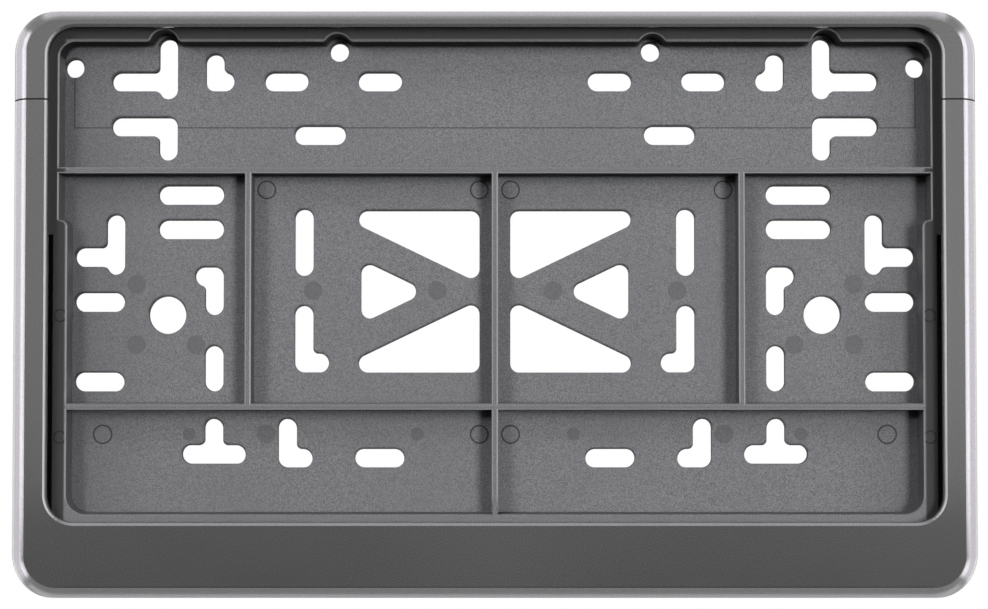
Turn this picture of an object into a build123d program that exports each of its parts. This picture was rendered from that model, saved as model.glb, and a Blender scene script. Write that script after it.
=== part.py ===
from build123d import *
import os

# Holder for a two-line number plate: a slotted base tray with a top rail, and a U-shaped lower
# frame that slides up over the tray's tongues and closes the border around the plate.
# Millimetres. X runs right, Z runs up and the front faces -Y. The origin is the middle of the
# back, and every height is a distance forward of the back plane.

# Number plate and the room around it
plate_width = 290.0
plate_height = 170.0
plate_room = 2.5
plate_play = 0.5

# Border of the holder outside the plate
side_border = 7.6
top_border = 3.75
bottom_border = 10.75

# Heights of the floor, the plate's seat and the lip in front of the plate
floor_thickness = 2.2
seat_height = 10.0
flange_thickness = 2.0
lip_thickness = 2.5

# Rounded bevel around the outside
corner_radius = 13.7
face_radius = 10.0
bevel_radius = 10.0
bevel_spare = 0.3
side_bevel = 5.45
top_bevel = 2.95
bottom_bevel = 3.55

# Wall of the hollow border, and how far its lip covers the plate
skirt_wall = 2.4
shoulder_drop = 1.0
bar_wall = 3.5
side_cover = 4.4
top_cover = 1.35
bottom_cover = 12.9
opening_radius = 8.8
plate_radius = 6.0
lip_chamfer = 0.8

# Break between the top rail and the legs of the lower frame, measured down from the top
break_drop = 28.05
break_gap = 0.3

# Pocket of the tray: how far the plate rests on its rim, and the step in its sides, whose two
# corner radii are shares of its width
upper_seat = 6.85
lower_seat = 9.6
top_seat = 5.2
bottom_seat = 15.1
step_drop = 61.8
step_rise = 0.4
pocket_wall = 2.0
pocket_top_radius = 5.0
pocket_low_radius = 6.1
step_heel = 0.1
step_round = 0.8
screw_room = 1.7
flare_radius = 1.5
rim_chamfer = 0.5

# Flange around the pocket: a tongue inside each leg, narrow below it
slide_clearance = 0.3
tongue_drop = 66.5
tongue_wall = 1.8
flange_side = 4.3
flange_low = 9.6
flange_radius = 9.0

# Return along the back of each leg, which runs behind the tongue
return_thickness = 2.0
return_gap = 0.45

# Ribs behind the bottom bar, which carry the plate and hook behind the lower flange
bar_rib_thickness = 2.0
bar_rib_pitch = 40.0
bar_rib_count = 7
bar_hook_gap = 1.6
bar_hook_root = 4.0

# Ribs on the floor, measured from the top and bottom of the pocket and from the middle
rib_thickness = 2.0
rib_drop = 40.9
rib_rise = 33.9
rib_side = 78.15

# Screw holes and slots: sizes
slot_width = 6.0
slot_corner = 1.7
hole_diameter = 6.0
access_diameter = 12.0

# Distances between left and right screw places
round_pitch = 100.0
narrow_pitch = 180.0
wide_pitch = 210.0
single_pitch = 112.3
short_pitch = 122.4
foot_pitch = 132.8
outer_pitch = 134.0
window_pitch = 73.8

# Rows of the upper panel, measured down from the top of the pocket
stem_drop = 0.9
round_drop = 2.15
corner_drop = 7.35
top_drop = 11.7
upper_drop = 26.2
single_drop = 29.0

# Rows of the middle panels, measured up from the origin
row_high = 35.05
row_low = 24.0
row_branch = 15.1
row_pair = 12.2
row_head = 8.9
row_middle = 0.65
row_access = -3.45
row_heel = -18.8
row_lower = -24.9

# Rows of the lower panel, measured up from the bottom of the pocket
foot_rise = 26.7
bar_rise = 18.3
last_rise = 17.1

# Reach of the slots from one end centre to the next, and their gaps to the pocket's wall
arm_reach = 15.2
edge_reach = 10.0
edge_margin = 0.7
corner_margin = 0.05
branch_drop = 2.55
branch_stem = 10.6
upper_stem = 7.8
short_stem = 5.9
head_stem = 9.3
upright_reach = 8.5
pair_reach = 15.3
toe_reach = 3.2
foot_reach = 5.0
bar_reach = 7.2
short_reach = 8.0
single_reach = 10.4
last_reach = 9.8

# Lightening windows between slanted struts in the centre panel
window_inner = 4.95
window_outer = 42.95
window_middle = 4.1
window_half = 25.95
window_gap = 2.75
window_point = 21.65
window_slope = 0.481
window_radius = 2.8

# Overlap that joins a feature to the wall it grows from, and slack for finding corners
weld = 0.8
slack = 0.05

# Levels and edges that follow from the sizes above
lip_height = seat_height + plate_room
depth = lip_height + lip_thickness
hollow_height = seat_height - shoulder_drop
plate_half = plate_width / 2
half_width = plate_half + side_border
top_edge = (plate_height + top_border + bottom_border) / 2
bottom_edge = -top_edge
plate_top = top_edge - top_border
plate_bottom = bottom_edge + bottom_border
inner_skirt = half_width - skirt_wall
room_floor = bottom_edge + bar_wall
break_high = top_edge - break_drop + break_gap / 2
break_low = top_edge - break_drop - break_gap / 2
upper_half = plate_half - upper_seat
lower_half = plate_half - lower_seat
pocket_top = plate_top - top_seat
pocket_bottom = plate_bottom + bottom_seat
step_width = upper_half - lower_half
step_top = plate_top - step_drop
step_bottom = step_top - step_rise
flange_back = seat_height - flange_thickness
flange_bottom = pocket_bottom - flange_low
tongue_low = plate_top - tongue_drop
tongue_half = plate_half + plate_play - slide_clearance
tongue_back = return_thickness + slide_clearance
rib_high = pocket_top - rib_drop
rib_low = pocket_bottom + rib_rise

# Columns and rows of the screw places on the right-hand side
col_round = round_pitch / 2
col_narrow = narrow_pitch / 2
col_wide = wide_pitch / 2
col_single = single_pitch / 2
col_short = short_pitch / 2
col_foot = foot_pitch / 2
col_outer = outer_pitch / 2
col_window = window_pitch / 2
col_arm = col_wide + arm_reach
edge_end = lower_half - edge_margin - slot_width / 2
col_edge = edge_end - edge_reach
col_corner = upper_half - corner_margin - hole_diameter / 2
row_stem = pocket_top - stem_drop
row_round = pocket_top - round_drop
row_corner = pocket_top - corner_drop
row_top = pocket_top - top_drop
row_upper = pocket_top - upper_drop
row_single = pocket_top - single_drop
row_foot = pocket_bottom + foot_rise
row_bar = pocket_bottom + bar_rise
row_last = pocket_bottom + last_rise


def rounded_frame(half, low, high, radius):
    """Add a rounded rectangle between two heights to the open sketch."""
    with Locations((0, (low + high) / 2)):
        RectangleRounded(2 * half, high - low, radius)


def keep_above(level):
    """Cut away what lies below a level from the open sketch."""
    with Locations((0, level)):
        Rectangle(4 * half_width, 4 * top_edge, align=(Align.CENTER, Align.MAX), mode=Mode.SUBTRACT)


def slot_run(start, end):
    """Add a slot with round ends centred on two points to the open sketch."""
    middle = ((start[0] + end[0]) / 2, (start[1] + end[1]) / 2)
    SlotCenterPoint(middle, end, slot_width)


def level_slot(column, row, reach):
    """Add a level slot around a point to the open sketch."""
    slot_run((column - reach / 2, row), (column + reach / 2, row))


# Whole border, before it is cut at the break
with BuildPart() as border:
    # Block with a round edge, then cut back to the outline and the flat face
    bevel_reach = max(side_bevel, top_bevel, bottom_bevel) + bevel_spare
    crown = bevel_radius - (bevel_radius**2 - (bevel_radius - bevel_reach) ** 2) ** 0.5
    with BuildSketch(Plane.XZ):
        rounded_frame(
            half_width - side_bevel + bevel_reach,
            bottom_edge + bottom_bevel - bevel_reach,
            top_edge - top_bevel + bevel_reach,
            face_radius + bevel_reach,
        )
    extrude(amount=depth + crown)
    fillet(border.faces().sort_by(Axis.Y)[0].edges(), bevel_radius)
    with BuildSketch(Plane.XZ):
        rounded_frame(half_width, bottom_edge, top_edge, corner_radius)
    extrude(amount=depth, mode=Mode.INTERSECT)
    # Hollow behind the skirt
    with BuildSketch(Plane.XZ):
        rounded_frame(
            inner_skirt,
            bottom_edge + skirt_wall,
            top_edge - skirt_wall,
            corner_radius - skirt_wall,
        )
    extrude(amount=hollow_height, mode=Mode.SUBTRACT)
    # Room for the plate's edge behind the lip
    with BuildSketch(Plane.XZ.offset(hollow_height)):
        rounded_frame(
            plate_half + plate_play,
            room_floor,
            plate_top + plate_play,
            plate_radius,
        )
    extrude(amount=lip_height - hollow_height, mode=Mode.SUBTRACT)
    # Opening in front of the plate
    with BuildSketch(Plane.XZ.offset(lip_height)):
        rounded_frame(
            plate_half - side_cover,
            plate_bottom + bottom_cover,
            plate_top - top_cover,
            opening_radius,
        )
    extrude(amount=lip_thickness, mode=Mode.SUBTRACT)
    front_face = border.faces().sort_by(Axis.Y)[0]
    chamfer(front_face.inner_wires()[0].edges(), lip_chamfer)

# Part of the border above the break, which belongs to the base tray
with BuildPart() as top_rail:
    add(border.part)
    split(bisect_by=Plane.XY.offset(break_high), keep=Keep.TOP)

# Lower frame: two legs and the wide bottom bar
with BuildPart() as lower_frame:
    add(border.part)
    split(bisect_by=Plane.XY.offset(break_low), keep=Keep.BOTTOM)
    # Return along the back of each leg
    return_edge = upper_half + pocket_wall + return_gap
    with BuildSketch(Plane.XZ):
        rounded_frame(
            inner_skirt + weld,
            bottom_edge + skirt_wall - weld,
            top_edge,
            corner_radius - skirt_wall + weld,
        )
        Rectangle(2 * return_edge, 2 * top_edge, mode=Mode.SUBTRACT)
        with Locations((0, break_low)):
            Rectangle(
                2 * half_width,
                top_edge,
                align=(Align.CENTER, Align.MIN),
                mode=Mode.SUBTRACT,
            )
    extrude(amount=return_thickness)
    # Ribs behind the bar
    bar_floor = bottom_edge + skirt_wall - weld
    rib_front = lip_height + weld
    rib_shoulder = hollow_height + weld
    rib_stop = plate_bottom - plate_play
    hook_front = flange_back - slide_clearance
    hook_tip = pocket_bottom - pocket_wall - bar_hook_gap
    for place in range(bar_rib_count):
        column = (place - (bar_rib_count - 1) / 2) * bar_rib_pitch
        with BuildSketch(Plane.YZ.offset(column)):
            with BuildLine():
                Polyline(
                    (0, bar_floor),
                    (-rib_shoulder, bar_floor),
                    (-rib_shoulder, room_floor - weld),
                    (-rib_front, room_floor - weld),
                    (-rib_front, rib_stop),
                    (-hook_front, rib_stop),
                    (-hook_front, hook_tip),
                    (-bar_hook_root, hook_tip),
                    (0, rib_stop),
                    close=True,
                )
            make_face()
        extrude(amount=bar_rib_thickness / 2, both=True)
lower_frame.part.label = "lower_frame"

# Outline of the pocket, with a round notch over each screw place at its top
with BuildSketch() as pocket:
    right_side = [
        (upper_half, pocket_top),
        (upper_half, step_top),
        (lower_half, step_bottom),
        (lower_half, pocket_bottom),
    ]
    left_side = [(-x, z) for x, z in reversed(right_side)]
    with BuildLine():
        Polyline(*right_side, *left_side, close=True)
    make_face()
    corner_levels = [
        (pocket_top, pocket_top_radius),
        (step_top, step_heel * step_width),
        (step_bottom, step_round * step_width),
        (pocket_bottom, pocket_low_radius),
    ]
    for level, radius in corner_levels:
        corners = pocket.vertices().filter_by_position(Axis.Y, level - slack, level + slack)
        fillet(corners, radius)
    for column, row in [(col_wide, row_stem), (col_round, row_round)]:
        with Locations((column, row), (-column, row)):
            Circle(slot_width / 2 + screw_room)
    # Flared mouths of the notches
    offset(amount=flare_radius)
    offset(amount=-flare_radius)

# Screw slots of the floor, drawn on the right and mirrored
with BuildSketch() as slots:
    # Upper panel
    slot_run((col_wide, row_stem), (col_wide, row_top - branch_drop))
    slot_run((col_wide, row_top), (col_arm, row_top))
    slot_run((col_wide, row_upper), (col_arm, row_upper))
    slot_run((col_wide, row_upper), (col_wide, row_upper - upper_stem))
    slot_run((col_narrow, row_top), (col_narrow, row_top + short_stem))
    slot_run((col_narrow, row_top), (col_narrow - toe_reach, row_top))
    level_slot(col_outer, row_top, short_reach)
    level_slot(col_window, row_top, short_reach)
    level_slot(col_single, row_single, single_reach)
    # Side panel
    slot_run((col_narrow, row_high), (col_wide, row_high))
    slot_run((col_narrow, row_low), (col_wide, row_low))
    slot_run((col_edge, row_branch + branch_stem), (col_edge, row_branch - branch_drop))
    for row in (row_branch, row_middle, row_lower):
        slot_run((col_edge, row), (edge_end, row))
    slot_run((col_narrow, row_head), (col_narrow, row_head - head_stem))
    slot_run((col_narrow, row_head), (col_narrow + toe_reach, row_head))
    slot_run((col_narrow, row_lower), (col_narrow, row_lower + upright_reach))
    # Centre panel
    slot_run((col_short, row_pair), (col_short, row_pair + pair_reach))
    slot_run((col_short, row_heel), (col_short, row_heel + pair_reach))
    slot_run((col_short, row_heel), (col_short - foot_reach, row_heel))
    # Lower panel
    slot_run((col_narrow - bar_reach, row_bar), (col_narrow + bar_reach, row_bar))
    slot_run((col_narrow, row_bar), (col_narrow, row_foot))
    slot_run((col_foot, row_foot), (col_foot, row_last))
    slot_run((col_foot, row_last), (col_foot - foot_reach, row_last))
    level_slot(col_window, row_last, last_reach)
    # Rounded inner corners
    offset(amount=slot_corner)
    offset(amount=-slot_corner)
    # Round holes
    with Locations((col_round, row_round), (col_corner, row_corner)):
        Circle(hole_diameter / 2)
    with Locations((col_wide, row_access)):
        Circle(access_diameter / 2)
    mirror(about=Plane.YZ)

# Lightening windows: two right triangles with a small one between them on each side
with BuildSketch() as windows:
    window_top = window_middle + window_half
    strut_edge = window_middle + window_gap
    strut_end = window_inner + (window_top - strut_edge) / window_slope
    small_half = (window_outer - window_point) * window_slope
    with BuildLine():
        Polyline(
            (window_inner, strut_edge),
            (window_inner, window_top),
            (strut_end, window_top),
            close=True,
        )
    make_face()
    mirror(about=Plane.XZ.offset(-window_middle))
    with BuildLine():
        Polyline(
            (window_point, window_middle),
            (window_outer, window_middle + small_half),
            (window_outer, window_middle - small_half),
            close=True,
        )
    make_face()
    fillet(windows.vertices(), window_radius)
    mirror(about=Plane.YZ)

# Base tray: floor, pocket wall, flange, ribs and the top rail in one moulding
with BuildPart() as base_tray:
    with BuildSketch(Plane.XZ):
        add(pocket.sketch)
        offset(amount=pocket_wall)
    extrude(amount=seat_height)
    with BuildSketch(Plane.XZ.offset(floor_thickness)):
        add(pocket.sketch)
    extrude(amount=seat_height - floor_thickness, mode=Mode.SUBTRACT)
    # Flange: as wide as the rail above the break, a tongue below it, then narrow
    with BuildSketch(Plane.XZ.offset(flange_back)):
        rounded_frame(
            inner_skirt + weld,
            bottom_edge,
            top_edge - skirt_wall + weld,
            corner_radius - skirt_wall + weld,
        )
        keep_above(break_high)
        with Locations((0, tongue_low)):
            Rectangle(2 * tongue_half, break_high - tongue_low, align=(Align.CENTER, Align.MIN))
        rounded_frame(lower_half + flange_side, flange_bottom, pocket_top, flange_radius)
        add(pocket.sketch, mode=Mode.SUBTRACT)
    extrude(amount=flange_thickness)
    # Ribs
    with BuildSketch(Plane.XZ.offset(floor_thickness)):
        with Locations((0, rib_high)):
            Rectangle(2 * upper_half + pocket_wall, rib_thickness)
        with Locations((0, rib_low)):
            Rectangle(2 * lower_half + pocket_wall, rib_thickness)
        with Locations((rib_side, rib_low), (-rib_side, rib_low)):
            Rectangle(rib_thickness, rib_high - rib_low, align=(Align.CENTER, Align.MIN))
        with Locations((0, rib_high)):
            Rectangle(
                rib_thickness,
                rib_high - pocket_bottom + pocket_wall / 2,
                align=(Align.CENTER, Align.MAX),
            )
    extrude(amount=seat_height - floor_thickness)
    # Broken edges of the rim and the ribs
    seat_face = base_tray.faces().sort_by(Axis.Y)[0]
    rim_edges = [edge for wire in seat_face.inner_wires() for edge in wire.edges()]
    chamfer(rim_edges, rim_chamfer)
    # Downturned edge of each tongue
    with BuildSketch(Plane.XZ.offset(tongue_back)):
        with Locations((tongue_half, tongue_low)):
            Rectangle(tongue_wall, break_high - tongue_low, align=(Align.MAX, Align.MIN))
        mirror(about=Plane.YZ)
    extrude(amount=flange_back - tongue_back)
    # Slots and windows of the floor
    with BuildSketch(Plane.XZ):
        add(slots.sketch)
        add(windows.sketch)
    extrude(amount=floor_thickness, mode=Mode.SUBTRACT)
    # Top rail and corners
    add(top_rail.part)
base_tray.part.label = "base_tray"

os.makedirs("parts", exist_ok=True)
export_step(base_tray.part, "parts/base_tray.step")
export_step(lower_frame.part, "parts/lower_frame.step")
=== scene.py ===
import math

import bpy
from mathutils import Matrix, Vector


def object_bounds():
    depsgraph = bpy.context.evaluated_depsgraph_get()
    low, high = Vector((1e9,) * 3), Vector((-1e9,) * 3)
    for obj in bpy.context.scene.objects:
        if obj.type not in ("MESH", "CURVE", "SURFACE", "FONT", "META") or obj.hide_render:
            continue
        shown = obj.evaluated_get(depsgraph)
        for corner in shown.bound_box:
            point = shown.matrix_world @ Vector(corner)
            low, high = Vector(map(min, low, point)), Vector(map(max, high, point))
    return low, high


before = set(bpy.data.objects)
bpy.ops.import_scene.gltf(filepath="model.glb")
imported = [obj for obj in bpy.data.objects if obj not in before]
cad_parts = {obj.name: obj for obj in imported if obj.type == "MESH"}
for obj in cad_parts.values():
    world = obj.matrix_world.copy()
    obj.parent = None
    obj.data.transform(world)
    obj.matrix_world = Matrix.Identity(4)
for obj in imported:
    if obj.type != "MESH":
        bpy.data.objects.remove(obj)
cad_low, cad_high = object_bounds()

# Metres. X runs right, Z runs up and the front faces -Y, as in the CAD model.
# A name that ends in step holds where a soft step starts and where it ends.

# Camera: a little below the middle of the holder, looking slightly up, with its sensor in millimetres
image_width = 988
focal_pixels = 1661
sensor_width = 36.0
camera_distance = 0.52
camera_rise = math.radians(1.3)
camera_aim = Vector((-0.00028, -0.015, -0.0003))
camera_near = 0.01

# Levels forward of the tray's back: its floor, its flange and ribs, and the foot of the lip bevel
floor_level = 0.0022
seat_level = 0.0100
lip_level = 0.0142
level_slack = 0.00006
edge_drop = 0.0005

# Round ejector marks on the right-hand side, mirrored to the left: column, row and radius
discs = [
    (0.0186, 0.00435, 0.0031),
    (0.0584, 0.00435, 0.0031),
    (0.1150, 0.0064, 0.0031),
    (0.1150, -0.0130, 0.0031),
    (0.0959, -0.0130, 0.0031),
    (0.0250, -0.0416, 0.0022),
    (0.0733, -0.0416, 0.0031),
    (0.0980, -0.0416, 0.0022),
]
rings = [
    (0.0050, 0.0368, 0.0028),
    (0.0733, 0.0368, 0.0028),
    (0.0050, -0.0416, 0.0028),
    (0.1256, -0.0416, 0.0029),
    (0.1374, -0.0037, 0.0019),
    (0.1374, -0.0421, 0.0019),
]
disc_step = (-0.00035, 0.00015)
ring_half = 0.00010
ring_soft = 0.00025

# Line left by the mould's insert, along the upper panel and up its sides
line_row = 0.0568
line_column = 0.1351
line_reach = 0.0083
line_half = 0.00010
line_soft = 0.00012
line_end_soft = 0.0002

# Where the flange around the pocket starts, which gets painted shade beside the lips, and where painted
# shade darkens the floor towards the sides
ledge_side_step = (0.1356, 0.1364)
ledge_top_step = (0.0837, 0.0843)
side_shade_step = (0.105, 0.136)

# Painted highlights on the edges of the rim and the ribs: shares of the edge, lower end, limit of facing up,
# and what the pocket's rim loses
edge_highlight_half = 0.35
edge_highlight_soft = 0.12
edge_highlight_low_step = (-0.064, -0.060)
edge_highlight_upward_step = (0.10, 0.45)
rim_side_step = (0.1325, 0.1335)
rim_side_loss = 0.35
rim_top_step = (0.0790, 0.0805)
rim_top_loss = 0.85

# Undersides: how round the moulded edges are, and how far the surface faces down
mould_radius = 0.0012
mould_samples = 6
under_step = (0.02, 0.20)

# Grain: scale, detail and roughness of each noise
fine_noise = (3000.0, 2.0, 0.6)
speck_noise = (3600.0, 1.0, 0.5)
flow_noise = (22.0, 4.0, 0.55)
flake_noise = (3200.0, 1.0, 0.5)
cloud_noise = (30.0, 3.0, 0.5)
sheen_noise = (60.0, 2.0, 0.5)
satin_noise = (2600.0, 1.0, 0.5)
fine_step = (0.34, 0.66)
speck_step = (0.60, 0.74)
flow_step = (0.35, 0.70)
flake_step = (0.35, 0.75)

# Matte tray: how strongly it shines, its roughness, the greys of its grain and their blue cast
matte_gloss = 0.03
matte_roughness = 0.75
disc_roughness = 0.50
grain_greys = (0.110, 0.205)
floor_tint = 0.05

# Tones laid over the tray's grain in this order: share, grey and blue cast. Painted shade lies along the
# floor's sides, on the flange beside the lips, in the marks' rings, on the walls, on the walls cut through
# the floor and on undersides; a painted highlight lies on the edges of the rim and ribs
shade_grey = 0.012
tray_tones = {
    "speck": (0.50, 0.36, floor_tint),
    "flow": (0.35, 0.145, floor_tint),
    "side_shade": (0.35, 0.07, floor_tint),
    "disc": (0.60, 0.098, floor_tint),
    "line": (0.80, 0.03, 0.0),
    "ledge_shade": (0.90, 0.035, 0.0),
    "ring": (0.85, 0.022, 0.0),
    "wall_shade": (0.45, 0.03, 0.0),
    "edge_highlight": (0.85, 0.38, floor_tint),
    "cut_shade": (1.00, 0.05, 0.0),
    "shaded": (0.85, shade_grey, 0.0),
}

# Relief of the tray: depth and strength of the grain, and how far the marks are sunk in it
grain_depth = 0.00012
grain_strength = 0.5
disc_sink = 0.6
ring_sink = 1.5

# Satin border: greys of the rails and the bar, the bar's darker grey being a painted dimmer reflection,
# spread of the flakes and clouds, and shine
rail_grey = 0.083
bar_grey = 0.062
flake_greys = (0.80, 1.28)
cloud_greys = (0.96, 1.04)
satin_gloss = 0.75
rail_roughness = 0.22
bar_roughness = (0.20, 0.25)
satin_depth = 0.00002
satin_strength = 0.25

# Small bevel inside the side rails: how far it faces the middle, where it starts, and the grey of the
# painted highlight on it
inward_step = (0.30, 0.65)
lip_step = (lip_level + 0.0002, lip_level + 0.0004)
lip_highlight_grey = 0.45
lip_shade_share = 0.8

# Where the top rail's satin starts forward of the flange, and the painted shade at its lower end by the
# break
rail_step = (seat_level + level_slack, seat_level + 3 * level_slack)
rail_end_step = (0.06445, 0.06465)
break_shade_grey = 0.03

# Bar: where the legs run into it, and the painted shade along its lower crease
leg_step = (-0.072, -0.050)
crease_row = -0.0885
crease_half = 0.00012
crease_soft = 0.00022
crease_reach = 0.132
crease_fade = 0.010
crease_shade_share = 0.45
crease_shade_grey = 0.01

# White background, and the light that it sheds on the holder's back
back_light = 2.0
back_step = (0.0, 0.7)

# Plain floor, far enough below the holder to see it from below too
ground_drop = 1.0
ground_half = 4.0
ground_lit_grey = 0.03
ground_seen_grey = 0.9
ground_glow = 0.75
stage_roughness = 0.9

# Dark cards: two behind the camera with a gap between them, and one low in front
card_place = -0.90
card_top = -0.128
card_bottom = -0.39
card_reach = 0.60
card_gap = 0.05
low_card_level = -0.12
low_card_near = -0.045
low_card_far = -0.16
card_grey = 0.02

# Lamps that give soft light and face the middle: name, place, width, height and radiance
soft_lamps = [
    ("key", (0.89, -1.54, 0.12), 0.44, 0.68, 26.6),
    ("fill", (-0.92, -1.42, 0.62), 0.48, 0.44, 19.2),
    ("upper_left", (-0.90, -0.93, 1.25), 0.60, 0.60, 8.2),
    ("upper_right", (0.90, -0.93, 1.25), 0.60, 0.60, 4.8),
]

# Strips above and below that only shine: name, place, width, height and radiance
level_strips = [
    ("top_strip", (0.0, 0.05, 0.62), 1.00, 0.40, 3.7),
    ("low_strip", (0.0, 0.06, -0.36), 0.90, 0.16, 1.7),
]

# Strips that shine in the side bevels, from front to back: end of name, place, width and radiance
side_strips = [
    ("_strip", -0.080, 0.085, 13.0),
    ("_panel", 0.055, 0.185, 3.5),
    ("_back_panel", 0.305, 0.315, 1.8),
]
side_strip_reach = 0.55
side_strip_height = 0.70

# Colour of the lamps that only shine, a little violet
shine_tint = (1.0, 0.95, 1.04)

# Names of the two sides, and the sign of X there
sides = (("left", -1), ("right", 1))


def new_material(name):
    """A node material with its Principled shader, ready for links."""
    material = bpy.data.materials.new(name)
    material.use_nodes = True
    tree = material.node_tree
    return material, tree, tree.nodes["Principled BSDF"]


def plug(tree, value, target):
    """Link a socket to an input, or set the input to a plain value."""
    if isinstance(value, bpy.types.NodeSocket):
        tree.links.new(value, target)
    else:
        target.default_value = value


def add_node(tree, kind, inputs, **settings):
    """A node of a kind, with the given settings and input values."""
    node = tree.nodes.new(kind)
    for key, value in settings.items():
        setattr(node, key, value)
    for key, value in inputs.items():
        plug(tree, value, node.inputs[key])
    return node


def calc(tree, operation, first, second=0.0):
    """The result of a Math node."""
    return add_node(tree, "ShaderNodeMath", {0: first, 1: second}, operation=operation).outputs[0]


def times(tree, *factors):
    """The product of some values."""
    product = factors[0]
    for factor in factors[1:]:
        product = calc(tree, "MULTIPLY", product, factor)
    return product


def either(tree, first, second):
    """The greater of two masks."""
    return calc(tree, "MAXIMUM", first, second)


def outside(tree, mask):
    """1 where a mask is 0, and 0 where it is 1."""
    return calc(tree, "SUBTRACT", 1.0, mask)


def along(tree, vector, axis):
    """One coordinate of a vector."""
    return add_node(tree, "ShaderNodeSeparateXYZ", {0: vector}).outputs[axis]


def rise(tree, value, start, end):
    """0 below start, 1 above end and smooth between them."""
    inputs = {"Value": value, "From Min": start, "From Max": end}
    return add_node(tree, "ShaderNodeMapRange", inputs, interpolation_type="SMOOTHSTEP").outputs[0]


def band(tree, value, centre, half, soft):
    """1 within half of a centre, falling to 0 over a soft edge."""
    away = calc(tree, "ABSOLUTE", calc(tree, "SUBTRACT", value, centre))
    return outside(tree, rise(tree, away, half, half + soft))


def on_level(tree, forward, level):
    """1 on a level face, and 0 on the walls around it."""
    return band(tree, forward, level, level_slack, level_slack / 2)


def between_levels(tree, forward, low, high):
    """1 on walls between two levels, and 0 on the level faces that they join."""
    half = (high - low) / 2
    return band(tree, forward, low + half, half - 2 * level_slack, level_slack)


def blend(tree, factor, first, second, kind="MIX"):
    """A colour mixed from two others."""
    inputs = {0: factor, 6: first, 7: second}
    return add_node(tree, "ShaderNodeMix", inputs, data_type="RGBA", blend_type=kind).outputs[2]


def between(tree, factor, first, second):
    """A number between two others."""
    return add_node(tree, "ShaderNodeMix", {0: factor, 2: first, 3: second}, data_type="FLOAT").outputs[0]


def grey(level, tint=0.0):
    """A grey, bluer for a positive tint."""
    return (level, level, level * (1 + tint), 1.0)


def shades(tree, factor, greys, tint=0.0):
    """A shade between two greys."""
    return blend(tree, factor, grey(greys[0], tint), grey(greys[1], tint))


def overlay(tree, base, mask, share, colour):
    """A colour laid over another by a share of a mask."""
    return blend(tree, times(tree, mask, share), base, colour)


def noise(tree, place, scale, detail, roughness):
    """Noise in object space, from 0 to 1."""
    inputs = {"Vector": place, "Scale": scale, "Detail": detail, "Roughness": roughness}
    return add_node(tree, "ShaderNodeTexNoise", inputs).outputs[0]


def emboss(tree, shader, relief, depth, strength):
    """Give a shader's surface a fine relief."""
    bump = add_node(tree, "ShaderNodeBump", {"Height": relief, "Distance": depth, "Strength": strength})
    plug(tree, bump.outputs[0], shader.inputs["Normal"])


def place_of(tree):
    """Object-space position: the vector, and its X, its distance forward of the back and its Z."""
    place = add_node(tree, "ShaderNodeTexCoord", {}).outputs["Object"]
    forward = times(tree, along(tree, place, "Y"), -1.0)
    return place, along(tree, place, "X"), forward, along(tree, place, "Z")


def side_lip(tree, x, forward):
    """1 on the small bevel inside the side rails, which faces the middle."""
    normal = add_node(tree, "ShaderNodeNewGeometry", {}).outputs["True Normal"]
    outward = times(tree, along(tree, normal, "X"), calc(tree, "SIGN", x))
    inward = rise(tree, times(tree, outward, -1.0), *inward_step)
    return times(tree, inward, rise(tree, forward, *lip_step))


def satin_colour(tree, place, level):
    """Silver-grey satin plastic with faint flakes and slow clouds."""
    flaked = shades(tree, rise(tree, noise(tree, place, *flake_noise), *flake_step), flake_greys)
    clouded = shades(tree, noise(tree, place, *cloud_noise), cloud_greys)
    tone = blend(tree, 1.0, flaked, clouded, "MULTIPLY")
    return blend(tree, 1.0, tone, level, "MULTIPLY")


def mark_distance(tree, span, z, marks):
    """Distance from the rim of the nearest of some round marks, negative inside it."""
    flat = add_node(tree, "ShaderNodeCombineXYZ", {0: span, 1: z}).outputs[0]
    nearest = 1.0
    for column, row, radius in marks:
        ends = {0: flat, 1: (column, row, 0.0)}
        reach = add_node(tree, "ShaderNodeVectorMath", ends, operation="DISTANCE").outputs["Value"]
        nearest = calc(tree, "MINIMUM", nearest, calc(tree, "SUBTRACT", reach, radius))
    return nearest


def disc_marks(tree, span, forward, z):
    """Smooth round ejector marks, not on the back."""
    inside = outside(tree, rise(tree, mark_distance(tree, span, z, discs), *disc_step))
    return times(tree, inside, rise(tree, forward, floor_level - 2 * level_slack, floor_level - level_slack))


def ring_marks(tree, span, z):
    """Shallow ejector marks that show only as a ring."""
    return band(tree, mark_distance(tree, span, z, rings), 0.0, ring_half, ring_soft)


def insert_line(tree, span, z):
    """Line left by the mould's insert."""
    level_line = band(tree, z, line_row, line_half, line_soft)
    level_line = times(tree, level_line, calc(tree, "LESS_THAN", span, line_column))
    upright_line = band(tree, span, line_column, line_half, line_soft)
    reach = band(tree, z, line_row + line_reach, line_reach, line_end_soft)
    return either(tree, level_line, times(tree, upright_line, reach))


def painted_edge_highlights(tree, span, forward, z, upward):
    """Painted highlights on the edges of the rim and the ribs, but not where they face up, and less at the
    rim.
    """
    edge = band(tree, forward, seat_level - edge_drop / 2, edge_drop * edge_highlight_half, edge_drop * edge_highlight_soft)
    above = rise(tree, z, *edge_highlight_low_step)
    not_up = outside(tree, rise(tree, upward, *edge_highlight_upward_step))
    rim_side = times(tree, rise(tree, span, *rim_side_step), rim_side_loss)
    rim_top = times(tree, rise(tree, z, *rim_top_step), rim_top_loss)
    return times(tree, edge, above, not_up, outside(tree, either(tree, rim_side, rim_top)))


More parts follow.
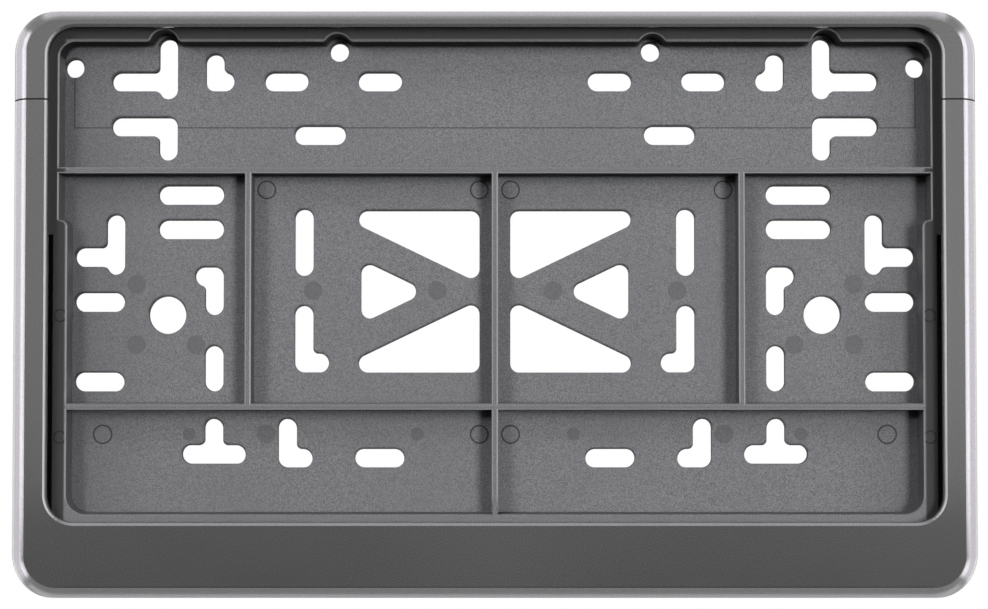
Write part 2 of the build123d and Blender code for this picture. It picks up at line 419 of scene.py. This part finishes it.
def tray_material():
    """Finely grained tray, with smooth ejector marks, an insert line and a satin top rail."""
    material, tree, shader = new_material("tray_plastic")
    place, x, forward, z = place_of(tree)
    span = calc(tree, "ABSOLUTE", x)
    # How far the surface faces up or down, with its edges rounded as moulded ones are
    inputs = {"Radius": mould_radius}
    rounded = add_node(tree, "ShaderNodeBevel", inputs, samples=mould_samples).outputs[0]
    upward = along(tree, rounded, "Z")
    under = rise(tree, times(tree, upward, -1.0), *under_step)
    # Parts of the tray that differ in tone, many of them painted shade or painted highlights
    on_floor = on_level(tree, forward, floor_level)
    on_seat = on_level(tree, forward, seat_level)
    # Painted shade on the walls between the floor and the flange
    wall_shade = between_levels(tree, forward, floor_level, seat_level - edge_drop)
    # Painted shade on the flange beside the lips, where the rails shade it
    ledge_shade = either(tree, rise(tree, span, *ledge_side_step), rise(tree, z, *ledge_top_step))
    disc = disc_marks(tree, span, forward, z)
    # The marks' dark ring is painted shade at their sunken rim
    ring = times(tree, ring_marks(tree, span, z), either(tree, on_floor, on_seat))
    masks = {
        "speck": rise(tree, noise(tree, place, *speck_noise), *speck_step),
        "flow": rise(tree, noise(tree, place, *flow_noise), *flow_step),
        # Painted shade on the floor, darker towards the side walls
        "side_shade": times(tree, rise(tree, span, *side_shade_step), on_floor),
        "disc": disc,
        "line": times(tree, insert_line(tree, span, z), on_floor),
        "ledge_shade": times(tree, ledge_shade, on_seat),
        "ring": ring,
        "wall_shade": wall_shade,
        # Painted highlights on the edges of the rim and the ribs
        "edge_highlight": painted_edge_highlights(tree, span, forward, z, upward),
        # Painted shade on the walls cut through the floor, around the slots
        "cut_shade": between_levels(tree, forward, 0.0, floor_level),
        "shaded": times(tree, under, either(tree, wall_shade, on_floor)),
    }
    fine = noise(tree, place, *fine_noise)
    base = shades(tree, rise(tree, fine, *fine_step), grain_greys, floor_tint)
    for name, (share, level, tint) in tray_tones.items():
        base = overlay(tree, base, masks[name], share, grey(level, tint))
    # Satin top rail, with painted shade on its underside, a painted highlight on its lip and painted shade
    # at its lower end by the break
    rail = rise(tree, forward, *rail_step)
    lip = between_levels(tree, forward, seat_level, lip_level)
    rail_end = outside(tree, rise(tree, z, *rail_end_step))
    satin = satin_colour(tree, place, grey(rail_grey))
    satin = overlay(tree, satin, times(tree, under, lip), lip_shade_share, grey(shade_grey))
    satin = blend(tree, side_lip(tree, x, forward), satin, grey(lip_highlight_grey))
    # Painted shade at the rail's lower end, in the gap at the break
    satin = blend(tree, rail_end, satin, grey(break_shade_grey))
    plug(tree, blend(tree, rail, base, satin), shader.inputs["Base Color"])
    rough = between(tree, disc, matte_roughness, disc_roughness)
    plug(tree, between(tree, rail, rough, rail_roughness), shader.inputs["Roughness"])
    gloss = between(tree, rail_end, satin_gloss, 0.0)
    plug(tree, between(tree, rail, matte_gloss, gloss), shader.inputs["Specular IOR Level"])
    # Grain in relief, none on the rail, and sunken marks
    relief = times(tree, fine, outside(tree, either(tree, rail, disc)))
    for mark, sink in ((disc, disc_sink), (ring, ring_sink)):
        relief = calc(tree, "SUBTRACT", relief, times(tree, mark, sink))
    emboss(tree, shader, relief, grain_depth, grain_strength)
    return material


def frame_material():
    """Satin lower frame, painted a little darker on the wide bar for its dimmer reflection, with painted
    shade along its crease and a painted highlight on the lip inside the legs.
    """
    material, tree, shader = new_material("frame_plastic")
    place, x, forward, z = place_of(tree)
    # The bar's darker grey is a painted dimmer reflection
    level = shades(tree, rise(tree, z, *leg_step), (bar_grey, rail_grey))
    # Painted shade along the bar's lower crease
    crease = band(tree, z, crease_row, crease_half, crease_soft)
    crease = times(tree, crease, band(tree, x, 0.0, crease_reach, crease_fade))
    level = overlay(tree, level, crease, crease_shade_share, grey(crease_shade_grey))
    satin = satin_colour(tree, place, level)
    # Painted highlight on the small bevel inside the legs
    satin = blend(tree, side_lip(tree, x, forward), satin, grey(lip_highlight_grey))
    plug(tree, satin, shader.inputs["Base Color"])
    sheen = noise(tree, place, *sheen_noise)
    plug(tree, between(tree, sheen, *bar_roughness), shader.inputs["Roughness"])
    shader.inputs["Specular IOR Level"].default_value = satin_gloss
    emboss(tree, shader, noise(tree, place, *satin_noise), satin_depth, satin_strength)
    return material


def seen_directly(tree):
    """1 for camera, glossy and transmission rays."""
    path = add_node(tree, "ShaderNodeLightPath", {})
    seen = either(tree, path.outputs["Is Camera Ray"], path.outputs["Is Glossy Ray"])
    return either(tree, seen, path.outputs["Is Transmission Ray"])


def make_world():
    """White background that sheds soft light on the holder's back."""
    world = bpy.data.worlds.new("studio")
    bpy.context.scene.world = world
    world.use_nodes = True
    tree = world.node_tree
    background = tree.nodes["Background"]
    background.inputs["Color"].default_value = grey(1.0)
    direction = add_node(tree, "ShaderNodeTexCoord", {}).outputs["Generated"]
    shed = times(tree, rise(tree, along(tree, direction, "Y"), *back_step), back_light)
    plug(tree, between(tree, seen_directly(tree), shed, 1.0), background.inputs["Strength"])


def make_panel(name, corners, material):
    """A flat stage panel through four corners."""
    mesh = bpy.data.meshes.new(name)
    mesh.from_pydata(corners, [], [(0, 1, 2, 3)])
    mesh.materials.append(material)
    panel = bpy.data.objects.new(name, mesh)
    bpy.context.scene.collection.objects.link(panel)
    return panel


def make_ground():
    """Pale floor that shows the holder's shadow and sends little light back up."""
    level = cad_low.z - ground_drop
    half = ground_half
    material, tree, shader = new_material("ground")
    seen = seen_directly(tree)
    plug(tree, shades(tree, seen, (ground_lit_grey, ground_seen_grey)), shader.inputs["Base Color"])
    shader.inputs["Roughness"].default_value = stage_roughness
    shader.inputs["Emission Color"].default_value = grey(1.0)
    plug(tree, times(tree, seen, ground_glow), shader.inputs["Emission Strength"])
    corners = [(-half, -half, level), (half, -half, level), (half, half, level), (-half, half, level)]
    make_panel("ground", corners, material)


def make_cards():
    """Dark cards, seen only as reflections in the border."""
    material, _, shader = new_material("card")
    shader.inputs["Base Color"].default_value = grey(card_grey)
    shader.inputs["Roughness"].default_value = stage_roughness
    cards = {
        "low_card": [
            (-card_reach, low_card_far, low_card_level),
            (card_reach, low_card_far, low_card_level),
            (card_reach, low_card_near, low_card_level),
            (-card_reach, low_card_near, low_card_level),
        ]
    }
    for side_name, side in sides:
        near = side * card_gap / 2
        far = side * card_reach
        cards[side_name + "_card"] = [
            (near, card_place, card_bottom),
            (far, card_place, card_bottom),
            (far, card_place, card_top),
            (near, card_place, card_top),
        ]
    for name, corners in cards.items():
        card = make_panel(name, corners, material)
        card.visible_camera = False
        card.visible_diffuse = False
        card.visible_transmission = False
        card.visible_shadow = False


def make_lamp(name, place, aim, width, height, radiance, soft):
    """A rectangular lamp that faces a point and gives either soft light or shine."""
    light = bpy.data.lights.new(name, "AREA")
    light.shape = "RECTANGLE"
    light.size = width
    light.size_y = height
    light.energy = radiance * math.pi * width * height
    if not soft:
        light.color = shine_tint
    lamp = bpy.data.objects.new(name, light)
    lamp.location = place
    lamp.rotation_euler = (Vector(aim) - Vector(place)).to_track_quat("-Z", "Y").to_euler()
    lamp.visible_camera = False
    lamp.visible_diffuse = soft
    lamp.visible_glossy = not soft
    bpy.context.scene.collection.objects.link(lamp)


def make_lamps():
    """A lamp on each side in front, two above, and strips that shine in the bevels."""
    for name, place, width, height, radiance in soft_lamps:
        make_lamp(name, place, (0.0, 0.0, 0.0), width, height, radiance, soft=True)
    strips = list(level_strips)
    for side_name, side in sides:
        for ending, y, width, radiance in side_strips:
            place = (side * side_strip_reach, y, 0.0)
            strips.append((side_name + ending, place, width, side_strip_height, radiance))
    for name, place, width, height, radiance in strips:
        make_lamp(name, place, (0.0, place[1], 0.0), width, height, radiance, soft=False)


def make_camera():
    """Camera at the photo's angle and framing."""
    data = bpy.data.cameras.new("camera")
    data.sensor_width = sensor_width
    data.lens = sensor_width * focal_pixels / image_width
    data.clip_start = camera_near
    camera = bpy.data.objects.new("camera", data)
    back = Vector((0.0, -math.cos(camera_rise), -math.sin(camera_rise)))
    camera.location = camera_aim + back * camera_distance
    camera.rotation_euler = (math.pi / 2 + camera_rise, 0.0, 0.0)
    bpy.context.scene.collection.objects.link(camera)
    bpy.context.scene.camera = camera


def dress(node, material):
    """Give a CAD node its finish."""
    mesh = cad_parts[node].data
    mesh.materials.clear()
    mesh.materials.append(material)


dress("base_tray", tray_material())
dress("lower_frame", frame_material())
make_world()
make_ground()
make_cards()
make_lamps()
make_camera()
bpy.context.scene.view_settings.view_transform = "Standard"
